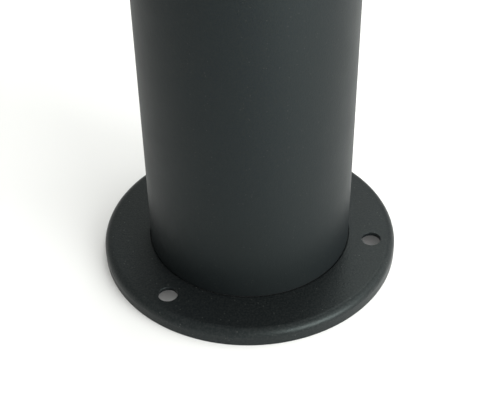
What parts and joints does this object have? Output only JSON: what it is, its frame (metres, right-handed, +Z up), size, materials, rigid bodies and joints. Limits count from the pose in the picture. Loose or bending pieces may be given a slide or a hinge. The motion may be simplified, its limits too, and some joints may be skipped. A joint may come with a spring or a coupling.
{
  "type": "bollard post",
  "caption": "Round bolt-down bollard post: a tube on a hollow round flange with a soft outer edge and anchor holes, closed by a flat screwed cap.",
  "frame": {"origin": "on the ground, at the middle of the flange", "axes": "+Z up along the post, +X through one anchor hole"},
  "size_m": [0.15, 0.15, 0.8],
  "materials": {
    "powder_coat": "satin powder coat, dark anthracite grey, over aluminium and sheet steel",
    "gasket_rubber": "matte black rubber sheet",
    "seal_foam": "closed-cell black foam rubber",
    "zinc_plate": "zinc-plated steel",
    "stainless": "bright stainless steel"
  },
  "bodies": {
    "root": {"post_tube": "powder_coat", "base_flange": "powder_coat", "top_cap": "powder_coat", "seam_gasket": "gasket_rubber", "cap_gasket": "gasket_rubber", "ground_seal": "seal_foam", "stiffener_ring": "zinc_plate", "base_screws": "stainless", "cap_screws": "stainless"}
  },
  "joints": []
}
